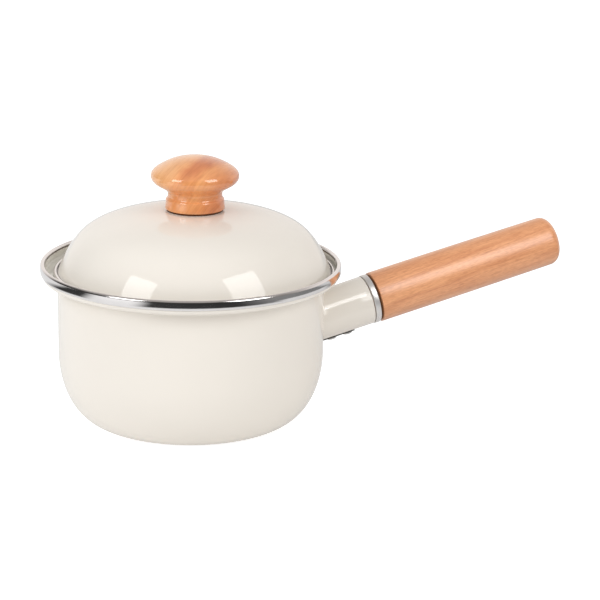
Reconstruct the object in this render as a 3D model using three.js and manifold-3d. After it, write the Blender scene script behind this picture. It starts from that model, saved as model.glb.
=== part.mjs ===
// An enamelled steel saucepan with a steel-edged lid, a turned wooden knob and a turned wooden handle.
// Millimetres, +Z up. The origin is the centre of the base, where it meets the table, and the handle
// points along +X. The lid lies loose in the mouth, pushed to the handle's side of its play.

import * as THREE from 'three';
import { mergeVertices } from 'three/addons/utils/BufferGeometryUtils.js';
import Module from 'manifold-3d';

const wasm = await Module();
wasm.setup();

// Clearance between pieces that touch on the real pan
const FIT_GAP = 0.3;

// Pot: a base disc, an elliptical lower corner, a straight wall, then a flare, a flat ledge and a lip
const POT_HEIGHT = 90.8;
const POT_RADIUS = 75.5;
const POT_WALL = 1.4;
const CORNER_WIDTH = 22.7;
const CORNER_HEIGHT = 39;
const FLARE_RADIUS = 2.6;
const LEDGE_WIDTH = 3.15;
const LIP_FILLET = 1.6;

// Steel band folded over the pot's lip, with a short leg inside
const RIM_BAND_HEIGHT = 5.4;
const RIM_BAND_SHEET = 0.45;
const RIM_INNER_LEG = 0.6;

// Lid: a superelliptic dome with a raised crown that sweeps out to a flange inside a folded steel band
const LID_WALL = 1;
const LID_PLAY = 2.5;
const LID_SIDE_GAP = 0.3;
const LID_BAND_SHEET = 0.35;
const LID_BAND_DEPTH = 1.8;
const DOME_HEIGHT = 31.2;
const DOME_CROWN_RISE = 2.7;
const DOME_EXPONENT = 2.94;
const DOME_FOOT_WIDTH = 6.1;
const DOME_SWEEP_WIDTH = 5;
const DOME_SWEEP_REACH = 13.8;
const DOME_FOOT_REACH = 2.5;

// Knob, heights from its underside; the pulls are how far each curve keeps its first direction
const KNOB_HEIGHT = 29.87;
const KNOB_COLLAR_RADIUS = 16.8;
const KNOB_COLLAR_HEIGHT = 2.2;
const KNOB_EDGE = 0.8;
const KNOB_NECK_RADIUS = 15.35;
const KNOB_NECK_HEIGHT = 8.41;
const KNOB_NECK_PULL = 4.7;
const KNOB_HEAD_RADIUS = 24.73;
const KNOB_HEAD_HEIGHT = 19.42;
const KNOB_UNDERSIDE_PULL = 7.14;
const KNOB_RIM_PULL = 2.29;
const KNOB_CROWN_PULL = 16;
const KNOB_SEAT_MARGIN = 1;

// Knob fixing: gasket, insert, washer and screw
const GASKET_THICKNESS = 1.1;
const GASKET_INSET = 0.5;
const INSERT_RADIUS = 4.2;
const INSERT_LENGTH = 12;
const INSERT_CLEAR_DEPTH = 2;
const KNOB_SCREW_RADIUS = 2.5;
const KNOB_SCREW_ENGAGEMENT = 10;
const KNOB_SCREW_HEAD_RADIUS = 4.5;
const KNOB_SCREW_HEAD_HEIGHT = 2.5;
const WASHER_RADIUS = 8;
const WASHER_THICKNESS = 1;

// Handle: its axis leaves the wall below the flare and rises outward
const HANDLE_TILT = THREE.MathUtils.degToRad(13.82);
const HANDLE_DROP = 28.05;
const SOCKET_RADIUS = 14.3;
const SOCKET_WALL = 1.2;
const SOCKET_LENGTH = 32;
const FERRULE_LENGTH = 3.4;
const FERRULE_PROUD = 0.3;
const SPACER_THICKNESS = 0.7;
const SPACER_RECESS = 0.6;
const GRIP_LENGTH = 117.3;
const GRIP_PROUD = 0.28;
const GRIP_SWELL = 0.1;
const GRIP_TAPER = 0.3;
const GRIP_EDGE = 0.6;
const GRIP_TIP_ROUND = 6;
const TENON_CHAMFER = 1;

// Handle fixing: bracket on the wall, rod into the grip, saddle strip and two screws from below
const BRACKET_WIDTH = 12;
const BRACKET_LEG = 3;
const BRACKET_PAD = 2;
const BRACKET_RISE = 9;
const BRACKET_MARGIN = 4.6;
const BRACKET_TO_TENON = 2;
const ROD_RADIUS = 3;
const ROD_ENGAGEMENT = 2.7;
const ROD_LENGTH = 75;
const ROD_CHAMFER = 0.8;
const PLATE_THICKNESS = 0.3;
const PLATE_HALF_ANGLE = THREE.MathUtils.degToRad(22);
const PLATE_MARGIN = 3.7;
const PLATE_WALL_GAP = 0.6;
const CLAMP_SCREW_RADIUS = 1.7;
const CLAMP_SCREW_HEAD_RADIUS = 3.2;
const CLAMP_SCREW_HEAD_HEIGHT = 0.8;
const CLAMP_SCREW_INSET = 9.7;
const CLAMP_SCREW_SPACING = 10.1;

// Facets round a full turn
const WIDE_TURN = 48;
const HANDLE_TURN = 32;
const SMALL_TURN = 16;

// Pot sizes worked out from the values above
const cornerCentreRadius = POT_RADIUS - CORNER_WIDTH;
const rimBottom = POT_HEIGHT - RIM_BAND_HEIGHT;
const ledgeHeight = rimBottom - LIP_FILLET;
const ledgeUnderside = ledgeHeight - POT_WALL;
const flareStart = ledgeUnderside - FLARE_RADIUS;
const lipFilletRadius = POT_RADIUS + FLARE_RADIUS + LEDGE_WIDTH;
const lipInner = lipFilletRadius + LIP_FILLET;
const lipOuter = lipInner + POT_WALL;
const rimInner = lipInner - FIT_GAP - RIM_BAND_SHEET;
const rimOuter = lipOuter + FIT_GAP + RIM_BAND_SHEET;
const rimMiddle = (rimInner + rimOuter) / 2;
const rimCrown = (rimOuter - rimInner) / 2;
const lipTop = POT_HEIGHT - rimCrown;
const rimInnerEnd = lipTop - RIM_INNER_LEG;

// Lid sizes worked out from the mouth that it lies in
const lidEdge = rimInner - LID_PLAY;
const lidOffset = LID_PLAY - LID_SIDE_GAP;
const lidBandBottom = ledgeHeight + FIT_GAP;
const lidBandHeight = LID_WALL + 2 * (FIT_GAP + LID_BAND_SHEET);
const lidBandTop = lidBandBottom + lidBandHeight;
const flangeEdge = lidEdge - LID_BAND_SHEET - FIT_GAP;
const flangeTop = lidBandTop - LID_BAND_SHEET - FIT_GAP;
const domeFoot = lidEdge - LID_BAND_DEPTH - FIT_GAP;
const domeRadius = domeFoot - DOME_FOOT_WIDTH;
const knobSeatRadius = KNOB_COLLAR_RADIUS + KNOB_SEAT_MARGIN;
const lidSeat = lidBandTop + domeHeightAt(knobSeatRadius);
const knobScrewHole = KNOB_SCREW_RADIUS + FIT_GAP;
const knobBottom = lidSeat + GASKET_THICKNESS;

// Places along the handle's axis, measured outward from the pot's wall
const wallUnderSocket = -SOCKET_RADIUS * Math.tan(HANDLE_TILT);
const ferruleStart = SOCKET_LENGTH + FIT_GAP;
const spacerStart = ferruleStart + FERRULE_LENGTH + FIT_GAP;
const gripStart = spacerStart + SPACER_THICKNESS + FIT_GAP;
const gripEnd = gripStart + GRIP_LENGTH;
const screwPlaces = [0, 1].map((i) => wallUnderSocket + CLAMP_SCREW_INSET + i * CLAMP_SCREW_SPACING);
const bracketEnd = screwPlaces[1] + BRACKET_MARGIN;
const tenonStart = bracketEnd + BRACKET_TO_TENON;
const socketInner = SOCKET_RADIUS - SOCKET_WALL;
const tenonRadius = socketInner - FIT_GAP;
const bracketBottom = Math.sqrt(tenonRadius ** 2 - (BRACKET_WIDTH / 2) ** 2);
const bracketTop = bracketBottom - BRACKET_LEG;
const padFace = wallAlongAxis(-BRACKET_RISE) + BRACKET_PAD;
const rodStart = padFace - ROD_ENGAGEMENT;
const rodEnd = rodStart + ROD_LENGTH;
const ferruleRadius = SOCKET_RADIUS + FERRULE_PROUD;
const gripRadius = ferruleRadius + GRIP_PROUD;
const plateInner = SOCKET_RADIUS + FIT_GAP;
const plateOuter = plateInner + PLATE_THICKNESS;
const clampScrewHole = CLAMP_SCREW_RADIUS + FIT_GAP;

/** Height of the lid's dome above its edge, at a distance from the lid's axis. */
function domeHeightAt(radius) {
  const share = radius / domeRadius;
  const dome = DOME_HEIGHT * (1 - share ** DOME_EXPONENT) ** (1 / DOME_EXPONENT);
  return dome + DOME_CROWN_RISE * (1 - share ** 2);
}

/** Where the pot's wall, with its fit gap, crosses a line along the handle `below` its axis. */
function wallAlongAxis(below) {
  return FIT_GAP / Math.cos(HANDLE_TILT) - below * Math.tan(HANDLE_TILT);
}

/** Points [radius, height] along an elliptical arc; angles in degrees from the outward direction. */
function arc(centre, [radiusAcross, radiusUp], from, to, steps) {
  return Array.from({ length: steps + 1 }, (_, i) => {
    const angle = THREE.MathUtils.degToRad(from + ((to - from) * i) / steps);
    return [centre[0] + radiusAcross * Math.cos(angle), centre[1] + radiusUp * Math.sin(angle)];
  });
}

/** Points along a Bezier curve through [radius, height] control points. */
function bezier(controls, steps) {
  const [a, b, c, d] = controls.map(([x, y]) => new THREE.Vector2(x, y));
  const curve = d ? new THREE.CubicBezierCurve(a, b, c, d) : new THREE.QuadraticBezierCurve(a, b, c);
  return curve.getPoints(steps).map(({ x, y }) => [x, y]);
}

/** An open outline moved sideways, to the left of its direction of travel. */
function offset(path, distance) {
  const normals = path.slice(1).map(([x, y], i) => {
    const step = new THREE.Vector2(x - path[i][0], y - path[i][1]).normalize();
    return new THREE.Vector2(-step.y, step.x);
  });
  return path.map(([x, y], i) => {
    const before = normals[Math.max(i - 1, 0)];
    const after = normals[Math.min(i, normals.length - 1)];
    const mitre = before.clone().add(after).divideScalar(1 + before.dot(after));
    return [x + mitre.x * distance, y + mitre.y * distance];
  });
}

/** A geometry with shared vertices merged and triangles without area left out. */
function weld(geometry) {
  const bare = new THREE.BufferGeometry();
  bare.setAttribute('position', geometry.getAttribute('position'));
  bare.setIndex(geometry.getIndex());
  const merged = mergeVertices(bare, 1e-4);
  const corners = merged.getIndex().array;
  const kept = [];
  for (let i = 0; i < corners.length; i += 3) {
    const [a, b, c] = corners.slice(i, i + 3);
    if (a !== b && b !== c && c !== a) kept.push(a, b, c);
  }
  merged.setIndex(kept);
  return merged;
}

/** A solid of revolution about Z from a closed outline of [radius, height] points in any sense. */
function revolve(outline, turn) {
  const points = outline.map(([radius, height]) => new THREE.Vector2(radius, height));
  if (THREE.ShapeUtils.area(points) < 0) points.reverse();
  points.push(points[0].clone());
  return weld(new THREE.LatheGeometry(points, turn).rotateX(Math.PI / 2));
}

/** A ring of revolution with a rectangular section. */
function ring(inner, outer, bottom, top, turn) {
  return revolve([[inner, bottom], [outer, bottom], [outer, top], [inner, top]], turn);
}

/** A round bar along Z between two heights. */
function bar(radius, bottom, top, turn) {
  return revolve([[0, bottom], [radius, bottom], [radius, top], [0, top]], turn);
}

/** A welded geometry as a solid that can be joined and cut. */
function toSolid(geometry) {
  return new wasm.Manifold(new wasm.Mesh({
    numProp: 3,
    vertProperties: Float32Array.from(geometry.getAttribute('position').array),
    triVerts: Uint32Array.from(geometry.getIndex().array),
  }));
}

/** A geometry with other geometries cut away from it. */
function cut(geometry, tools) {
  const solid = tools.reduce((left, tool) => left.subtract(toSolid(tool)), toSolid(geometry));
  const { vertProperties, triVerts } = solid.getMesh();
  const result = new THREE.BufferGeometry();
  result.setAttribute('position', new THREE.BufferAttribute(vertProperties, 3));
  result.setIndex(Array.from(triVerts));
  return weld(result);
}

/** A named piece with a finish of its own, added to a group. */
function addPiece(group, name, geometry, [color, roughness, metalness]) {
  geometry.computeVertexNormals();
  const mesh = new THREE.Mesh(geometry, new THREE.MeshStandardMaterial({ color, roughness, metalness }));
  mesh.name = name;
  group.add(mesh);
}

// Finishes: colour, roughness, metalness
const ENAMEL = [0xefe8de, 0.15, 0];
const POLISHED_STEEL = [0xc9c8c6, 0.12, 1];
const PLAIN_STEEL = [0x9a9894, 0.4, 1];
const DARK_STEEL = [0x4a4743, 0.45, 1];
const GRIP_WOOD = [0xd99a6c, 0.45, 0];
const KNOB_WOOD = [0xe0a066, 0.2, 0];
const BRASS = [0xb9975a, 0.35, 1];
const DARK_RUBBER = [0x3a2a22, 0.7, 0];

// Outside of the pot, from the middle of its base to the top of its lip
const potOutside = [
  [0, 0],
  ...arc([cornerCentreRadius, CORNER_HEIGHT], [CORNER_WIDTH, CORNER_HEIGHT], -90, 0, 8),
  ...arc([POT_RADIUS + FLARE_RADIUS, flareStart], [FLARE_RADIUS, FLARE_RADIUS], 180, 90, 3),
  ...arc([lipFilletRadius, rimBottom], [LIP_FILLET + POT_WALL, LIP_FILLET + POT_WALL], -90, 0, 3),
  [lipOuter, lipTop],
];

function potShell() {
  return revolve([...potOutside, ...offset(potOutside, POT_WALL).reverse()], WIDE_TURN);
}

function rimBand() {
  const hollow = rimCrown - RIM_BAND_SHEET;
  return revolve([
    [rimOuter, rimBottom],
    ...arc([rimMiddle, lipTop], [rimCrown, rimCrown], 0, 180, 6),
    [rimInner, rimInnerEnd],
    [rimInner + RIM_BAND_SHEET, rimInnerEnd],
    ...arc([rimMiddle, lipTop], [hollow, hollow], 180, 0, 4),
    [rimOuter - RIM_BAND_SHEET, rimBottom],
  ], WIDE_TURN);
}

// Outside of the lid, from its screw hole over the dome to the edge of its flange
function lidOutside() {
  const crownSteps = 9;
  const sweepStart = domeRadius - DOME_SWEEP_WIDTH;
  const crown = Array.from({ length: crownSteps + 1 }, (_, i) => {
    const share = Math.sin((i / crownSteps) * (Math.PI / 2));
    const radius = knobSeatRadius + (sweepStart - knobSeatRadius) * share;
    return [radius, lidBandTop + domeHeightAt(radius)];
  });
  const [joinRadius, joinHeight] = crown.at(-1);
  const above = crown.at(-2);
  const fall = new THREE.Vector2(joinRadius - above[0], joinHeight - above[1]).normalize();
  const sweep = bezier([
    [joinRadius, joinHeight],
    [joinRadius + fall.x * DOME_SWEEP_REACH, joinHeight + fall.y * DOME_SWEEP_REACH],
    [domeFoot - DOME_FOOT_REACH, flangeTop],
    [domeFoot, flangeTop],
  ], 6);
  return [[knobScrewHole, lidSeat], ...crown, ...sweep.slice(1), [flangeEdge, flangeTop]];
}

function lidShell() {
  const outside = lidOutside();
  return revolve([...outside, ...offset(outside, -LID_WALL).reverse()], WIDE_TURN);
}

function lidBand() {
  const inner = lidEdge - LID_BAND_DEPTH;
  const pocket = lidEdge - LID_BAND_SHEET;
  return revolve([
    [inner, lidBandBottom],
    [lidEdge, lidBandBottom],
    [lidEdge, lidBandTop],
    [inner, lidBandTop],
    [inner, lidBandTop - LID_BAND_SHEET],
    [pocket, lidBandTop - LID_BAND_SHEET],
    [pocket, lidBandBottom + LID_BAND_SHEET],
    [inner, lidBandBottom + LID_BAND_SHEET],
  ], WIDE_TURN);
}

function knob() {
  const boreRadius = INSERT_RADIUS + FIT_GAP;
  const boreDepth = FIT_GAP + INSERT_LENGTH + INSERT_CLEAR_DEPTH;
  const underside = bezier([
    [KNOB_NECK_RADIUS, KNOB_NECK_HEIGHT],
    [KNOB_NECK_RADIUS, KNOB_NECK_HEIGHT + KNOB_NECK_PULL],
    [KNOB_HEAD_RADIUS, KNOB_HEAD_HEIGHT - KNOB_UNDERSIDE_PULL],
    [KNOB_HEAD_RADIUS, KNOB_HEAD_HEIGHT],
  ], 6);
  const cap = bezier([
    [KNOB_HEAD_RADIUS, KNOB_HEAD_HEIGHT],
    [KNOB_HEAD_RADIUS, KNOB_HEAD_HEIGHT + KNOB_RIM_PULL],
    [KNOB_CROWN_PULL, KNOB_HEIGHT],
    [0, KNOB_HEIGHT],
  ], 6);
  return revolve([
    [0, boreDepth],
    [boreRadius, boreDepth],
    [boreRadius, 0],
    [KNOB_COLLAR_RADIUS - KNOB_EDGE, 0],
    [KNOB_COLLAR_RADIUS, KNOB_EDGE],
    [KNOB_COLLAR_RADIUS, KNOB_COLLAR_HEIGHT],
    ...underside,
    ...cap.slice(1),
  ], HANDLE_TURN).translate(0, 0, knobBottom);
}

function knobInsert() {
  const bottom = knobBottom + FIT_GAP;
  return ring(knobScrewHole, INSERT_RADIUS, bottom, bottom + INSERT_LENGTH, SMALL_TURN);
}

function knobGasket() {
  return ring(knobScrewHole, KNOB_COLLAR_RADIUS - GASKET_INSET, lidSeat, knobBottom, HANDLE_TURN);
}

function knobWasher() {
  const top = lidSeat - LID_WALL;
  return ring(knobScrewHole, WASHER_RADIUS, top - WASHER_THICKNESS, top, HANDLE_TURN);
}

/** A screw along Z with a domed head below `seat` and a shank that ends at `tip`. */
function screw(shankRadius, headRadius, headHeight, seat, tip) {
  const crown = arc([0, seat - headHeight / 2], [headRadius, headHeight / 2], -90, 0, 3);
  const shank = [[shankRadius, seat], [shankRadius, tip], [0, tip]];
  return revolve([...crown, [headRadius, seat], ...shank], SMALL_TURN);
}

function knobScrew() {
  const seat = lidSeat - LID_WALL - WASHER_THICKNESS;
  const tip = knobBottom + KNOB_SCREW_ENGAGEMENT;
  return screw(KNOB_SCREW_RADIUS, KNOB_SCREW_HEAD_RADIUS, KNOB_SCREW_HEAD_HEIGHT, seat, tip);
}

// Handle pieces lie along Z from the pot's wall, with +X downward, until their group turns them

/** A bar across the handle, downward from its axis, for a clamp screw's hole. */
function screwHole(place, top) {
  const drill = bar(clampScrewHole, top, plateOuter + FIT_GAP, SMALL_TURN);
  return drill.rotateY(Math.PI / 2).translate(0, 0, place);
}

/** The pot's filled outside with its fit gap, in the handle's own position. */
function potInHandleFrame() {
  const skin = offset(potOutside, -FIT_GAP);
  const filled = revolve([...skin, [0, skin.at(-1)[1]]], WIDE_TURN);
  return filled.applyMatrix4(handleGroup.matrix.clone().invert());
}

function handleSocket() {
  const tube = ring(socketInner, SOCKET_RADIUS, -2 * SOCKET_RADIUS, SOCKET_LENGTH, HANDLE_TURN);
  return cut(tube, [potInHandleFrame(), ...screwPlaces.map((place) => screwHole(place, bracketTop))]);
}

function handleBracket() {
  const side = new THREE.Shape([
    [-BRACKET_RISE, wallAlongAxis(-BRACKET_RISE)],
    [bracketBottom, wallAlongAxis(bracketBottom)],
    [bracketBottom, bracketEnd],
    [bracketTop, bracketEnd],
    [bracketTop, padFace],
    [-BRACKET_RISE, padFace],
  ].map(([down, along]) => new THREE.Vector2(down, along)));
  const angle = new THREE.ExtrudeGeometry(side, { depth: BRACKET_WIDTH, bevelEnabled: false });
  angle.rotateX(Math.PI / 2).translate(0, BRACKET_WIDTH / 2, 0);
  const rodHole = bar(ROD_RADIUS + FIT_GAP, rodStart - FIT_GAP, padFace + FIT_GAP, SMALL_TURN);
  const screwTop = bracketTop - CLAMP_SCREW_RADIUS;
  return cut(weld(angle), [rodHole, ...screwPlaces.map((place) => screwHole(place, screwTop))]);
}

function handleRod() {
  return revolve([
    [0, rodStart],
    [ROD_RADIUS, rodStart],
    [ROD_RADIUS, rodEnd - ROD_CHAMFER],
    [ROD_RADIUS - ROD_CHAMFER, rodEnd],
    [0, rodEnd],
  ], SMALL_TURN);
}

function clampPlate() {
  const section = new THREE.Shape();
  section.absarc(0, 0, plateOuter, -PLATE_HALF_ANGLE, PLATE_HALF_ANGLE, false);
  section.absarc(0, 0, plateInner, PLATE_HALF_ANGLE, -PLATE_HALF_ANGLE, true);
  const start = wallUnderSocket + PLATE_WALL_GAP;
  const depth = screwPlaces[1] + PLATE_MARGIN - start;
  const saddle = new THREE.ExtrudeGeometry(section, { depth, bevelEnabled: false, curveSegments: 6 });
  saddle.translate(0, 0, start);
  return cut(weld(saddle), screwPlaces.map((place) => screwHole(place, bracketTop)));
}

function clampScrew(place) {
  const seat = -plateOuter - FIT_GAP;
  const body = screw(CLAMP_SCREW_RADIUS, CLAMP_SCREW_HEAD_RADIUS, CLAMP_SCREW_HEAD_HEIGHT, seat, -bracketTop);
  return body.rotateY(-Math.PI / 2).translate(0, 0, place);
}

function handleFerrule() {
  return ring(socketInner, ferruleRadius, ferruleStart, ferruleStart + FERRULE_LENGTH, HANDLE_TURN);
}

function spacerRing() {
  const outer = SOCKET_RADIUS - SPACER_RECESS;
  return ring(socketInner, outer, spacerStart, spacerStart + SPACER_THICKNESS, HANDLE_TURN);
}

function handleGrip() {
  const boreRadius = ROD_RADIUS + FIT_GAP;
  const boreEnd = rodEnd + FIT_GAP;
  const bellyStart = gripStart + GRIP_EDGE;
  const bellyEnd = gripEnd - GRIP_TIP_ROUND;
  const endRadius = gripRadius - GRIP_TAPER;
  const bellyPull = (gripRadius + endRadius) / 2 + 2 * GRIP_SWELL;
  return revolve([
    [0, boreEnd],
    [boreRadius, boreEnd],
    [boreRadius, tenonStart],
    [tenonRadius - TENON_CHAMFER, tenonStart],
    [tenonRadius, tenonStart + TENON_CHAMFER],
    [tenonRadius, gripStart],
    [gripRadius - GRIP_EDGE, gripStart],
    ...bezier([
      [gripRadius, bellyStart],
      [bellyPull, (bellyStart + bellyEnd) / 2],
      [endRadius, bellyEnd],
    ], 6),
    ...arc([endRadius - GRIP_TIP_ROUND, bellyEnd], [GRIP_TIP_ROUND, GRIP_TIP_ROUND], 0, 90, 4).slice(1),
    [0, gripEnd],
  ], HANDLE_TURN);
}

const saucepan = new THREE.Group();

const potGroup = new THREE.Group();
addPiece(potGroup, 'pot_shell', potShell(), ENAMEL);
addPiece(potGroup, 'pot_rim_band', rimBand(), POLISHED_STEEL);
saucepan.add(potGroup);

const handleGroup = new THREE.Group();
handleGroup.position.set(POT_RADIUS, 0, flareStart - HANDLE_DROP);
handleGroup.rotation.y = Math.PI / 2 - HANDLE_TILT;
handleGroup.updateMatrix();
addPiece(handleGroup, 'handle_bracket', handleBracket(), PLAIN_STEEL);
addPiece(handleGroup, 'handle_rod', handleRod(), PLAIN_STEEL);
addPiece(handleGroup, 'handle_socket', handleSocket(), ENAMEL);
addPiece(handleGroup, 'clamp_plate', clampPlate(), DARK_STEEL);
['clamp_screw_rear', 'clamp_screw_front'].forEach((name, i) => {
  addPiece(handleGroup, name, clampScrew(screwPlaces[i]), POLISHED_STEEL);
});
addPiece(handleGroup, 'handle_ferrule', handleFerrule(), POLISHED_STEEL);
addPiece(handleGroup, 'spacer_ring', spacerRing(), DARK_RUBBER);
addPiece(handleGroup, 'handle_grip', handleGrip(), GRIP_WOOD);
saucepan.add(handleGroup);

const lidGroup = new THREE.Group();
lidGroup.position.x = lidOffset;
addPiece(lidGroup, 'lid_shell', lidShell(), ENAMEL);
addPiece(lidGroup, 'lid_rim_band', lidBand(), POLISHED_STEEL);
addPiece(lidGroup, 'knob_gasket', knobGasket(), DARK_RUBBER);
addPiece(lidGroup, 'lid_knob', knob(), KNOB_WOOD);
addPiece(lidGroup, 'knob_insert', knobInsert(), BRASS);
addPiece(lidGroup, 'knob_washer', knobWasher(), PLAIN_STEEL);
addPiece(lidGroup, 'knob_screw', knobScrew(), PLAIN_STEEL);
saucepan.add(lidGroup);

export default saucepan;
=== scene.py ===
"""Looks for the enamel saucepan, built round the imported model: smooth turned surfaces, rounded steel edges
and screw recesses, procedural enamel, steel and wood, a pale floor, soft lights and the photograph's
camera."""
import math

import bpy
from mathutils import Matrix, Vector


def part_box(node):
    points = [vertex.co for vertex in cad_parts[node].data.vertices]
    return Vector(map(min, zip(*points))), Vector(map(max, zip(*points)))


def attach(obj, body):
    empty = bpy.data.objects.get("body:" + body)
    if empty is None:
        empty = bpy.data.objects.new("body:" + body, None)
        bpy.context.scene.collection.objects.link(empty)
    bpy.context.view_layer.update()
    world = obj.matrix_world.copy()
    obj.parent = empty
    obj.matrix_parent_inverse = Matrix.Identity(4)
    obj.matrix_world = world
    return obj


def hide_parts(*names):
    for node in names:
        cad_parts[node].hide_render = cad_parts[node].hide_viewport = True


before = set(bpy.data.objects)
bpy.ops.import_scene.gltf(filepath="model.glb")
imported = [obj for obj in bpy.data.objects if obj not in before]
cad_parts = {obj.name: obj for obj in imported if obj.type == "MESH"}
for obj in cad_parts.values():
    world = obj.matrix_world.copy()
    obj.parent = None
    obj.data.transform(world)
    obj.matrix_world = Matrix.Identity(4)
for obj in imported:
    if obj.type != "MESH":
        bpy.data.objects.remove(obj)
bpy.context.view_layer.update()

MM = 0.001

# Camera: degrees round the pot and above the table, turned aside to frame the handle; distances in metres
VIEW_AZIMUTH = -15.66
VIEW_ELEVATION = 15.963
VIEW_ASIDE = 3.224
VIEW_DISTANCE = 1.1
VIEW_HEIGHT = 0.06742
FOCAL_PIXELS = 1930.3
FRAME_PIXELS = 600
SENSOR = 36

# Soft lights: degrees to the right of the camera and above the table, spans across and up, brightness;
# distances in metres, power in watts per square metre of light and unit of brightness
SOFT_LIGHTS = {
    "left_softbox": (-51.0, 27.5, 24.0, 25.0, 3.3),
    "right_softbox": (47.0, 32.0, 27.0, 29.0, 3.2),
    "socket_strip": (25.0, 48.0, 16.0, 16.0, 4.8),
    "grip_strip": (25.0, 37.0, 18.0, 24.0, 3.1),
}
GLOSS_ONLY = ("socket_strip",)
LIGHT_DISTANCE = 1.3
LIGHT_AIM_HEIGHT = 0.09
LIGHT_POWER = 4

# Surroundings: even light, its lean to the left, its shares at the horizon and overhead, its tints left and
# right
AMBIENT = 0.615
AMBIENT_LEAN = 0.28
AMBIENT_HORIZON = 0.79
AMBIENT_CEILING = 1.2
COOL_LIGHT = (0.965, 1.0, 1.04)
WARM_LIGHT = (1.0, 0.99, 0.97)

# What polished metal mirrors: a pale wall behind the pot, a room in front, darker ahead than to the right,
# the bearing of the room's middle, the cosines between which wall turns to room, a ceiling, the heights
# between which it takes over, a tint, and the cosines between which the right takes over from what is ahead
MIRRORED_WALL = 0.95
MIRRORED_ROOM = (0.045, 0.3)
MIRRORED_BEARING = -20
MIRRORED_TURN = (-0.75, -0.1)
MIRRORED_CEILING = 0.45
CEILING_START = (0.35, 0.9)
MIRRORED_TONE = (1.05, 0.99, 0.95)
TO_THE_RIGHT = (0.5, 0.95)

# Floor, in metres: its reach and height, the paper's brightness, its glow in every ray, that glow's lean to
# the left and over what distance, and its glow to the eye
FLOOR_REACH = 6.0
FLOOR_HEIGHT = -0.0002
PAPER = 0.7
PAPER_GLOW = 0.23
PAPER_LEAN = 0.35
PAPER_LEAN_REACH = 0.3
PAPER_EYE_GLOW = 0.5

# The paper that polished metal sees: the reach at which it ends, what is left of it ahead and to the right,
# the distances behind the pot's middle between which it comes back, and the lobes in which it goes on
# further: degrees to the right of the camera, half a span in degrees and extra reach; the blur of a lobe's
# sides is in degrees
PAPER_END = (0.265, 0.305)
PAPER_BEYOND = (0.045, 0.3)
PAPER_BEHIND = (0.08, 0.22)
PAPER_LOBES = ((-55, 20, 3.0), (88, 27, 0.08))
LOBE_BLUR = 9

# Finishes: colours, and for polished steel also the lowest and highest roughness and the depth of its lines
WHITE = (1.0, 1.0, 1.0)
ENAMEL_TONES = ((0.855, 0.797, 0.718), (0.88, 0.822, 0.744))
SPECK_TONE = (0.30, 0.25, 0.20)
# Paler inside: the inner enamel's own paler tone, and painted light in the shaded mouth
PALE_AND_LIT_INSIDE_TONE = (0.96, 0.925, 0.84)
# Painted shade: the dark ring in the groove by the lid's band
GROOVE_SHADE_TONE = (0.09, 0.07, 0.055)
# Painted shade: the dark line inside the rim
SHADE_LINE_TONE = (0.16, 0.13, 0.11)
# Painted light: the paler tone on one side of the knob's head
LIT_SIDE_KNOB_TONE = (1.0, 0.56, 0.25)
POLISH = ((0.815, 0.79, 0.78), 0.06, 0.12, 0.04)
STEEL_CLOUD_SHADE = 0.88

# From here on lengths are in millimetres: pieces have this gap where they fit together
FIT_GAP = 0.3

# Pot and its steel rim; the hem starts at an angle in degrees, and the shade line is painted shade: a dark
# line inside the rim where the sheet's edge meets the enamel, from below to above the foot of its crown
POT_RADIUS = 75.5
POT_WALL = 1.4
CORNER_WIDTH = 22.7
CORNER_HEIGHT = 39
FLARE_RADIUS = 2.6
LIP_FILLET = 1.6
RIM_SHEET = 0.45
RIM_INNER_LEG = 0.6
RIM_HEM = 0.5
RIM_HEM_START = -60
RIM_FOOT_RISE = 0.05
RIM_SIDE_BULGE = 0.12
RIM_SHADE_LINE = (0.7, 0.15)
SHADE_LINE_BLUR = 0.05
SHADE_LINE_TOP_BLUR = 0.1

# Lid
LID_WALL = 1
LID_BAND_DEPTH = 1.8
LID_BAND_SHEET = 0.35
LID_BAND_ROUND = 0.9
LID_BEAD = 0.8
LID_BEAD_ROUND = 0.6
LID_BEAD_EDGE = 0.1
LID_BEAD_GAP = 0.1
# Painted shade: a dark ring on the lid's enamel by its band, starting this far inside the dome's foot
LID_SHADE_EDGE = 0.35
LID_SHADE_BLUR = 0.15
DOME_HEIGHT = 31.2
DOME_CROWN_RISE = 2.7
DOME_EXPONENT = 2.94
DOME_FOOT_WIDTH = 6.1
DOME_SWEEP_WIDTH = 5
DOME_SWEEP_REACH = 13.8
DOME_FOOT_REACH = 1.2
DOME_STEPS = 60
KNOB_SEAT_MARGIN = 1

# Knob, heights from its underside, with the gasket, screw and washer below it
KNOB_COLLAR_RADIUS = 16.8
KNOB_COLLAR_HEIGHT = 4.9
KNOB_COLLAR_TAPER = 0.4
KNOB_COLLAR_EDGE = 0.5
KNOB_SHELF_HEIGHT = 7.6
KNOB_SHELF_PULL = 1.6
KNOB_NECK_RADIUS = 15.35
KNOB_NECK_HEIGHT = 8.68
KNOB_NECK_PULL = 3.85
KNOB_HEAD_HEIGHT = 18.68
KNOB_UNDERSIDE_PULL = 5.7
KNOB_RIM_PULL = 2.92
KNOB_SHOULDER = (16.81, 26.19)
KNOB_SHOULDER_SLOPE = math.radians(27)
KNOB_SHOULDER_PULLS = (6.07, 4.75)
KNOB_CROWN_PULL = 7.2
KNOB_BORE = 4.5
KNOB_BORE_DEPTH = 14.3
GASKET_INSET = 0.35
GASKET_LOW_EDGE = 0.5
GASKET_HIGH_EDGE = 0.1
KNOB_SCREW_RADIUS = 2.5
KNOB_SCREW_HEAD_RADIUS = 4.5
KNOB_SCREW_HEAD_HEIGHT = 2.5
WASHER_RADIUS = 8
WASHER_EDGE = 0.25

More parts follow.
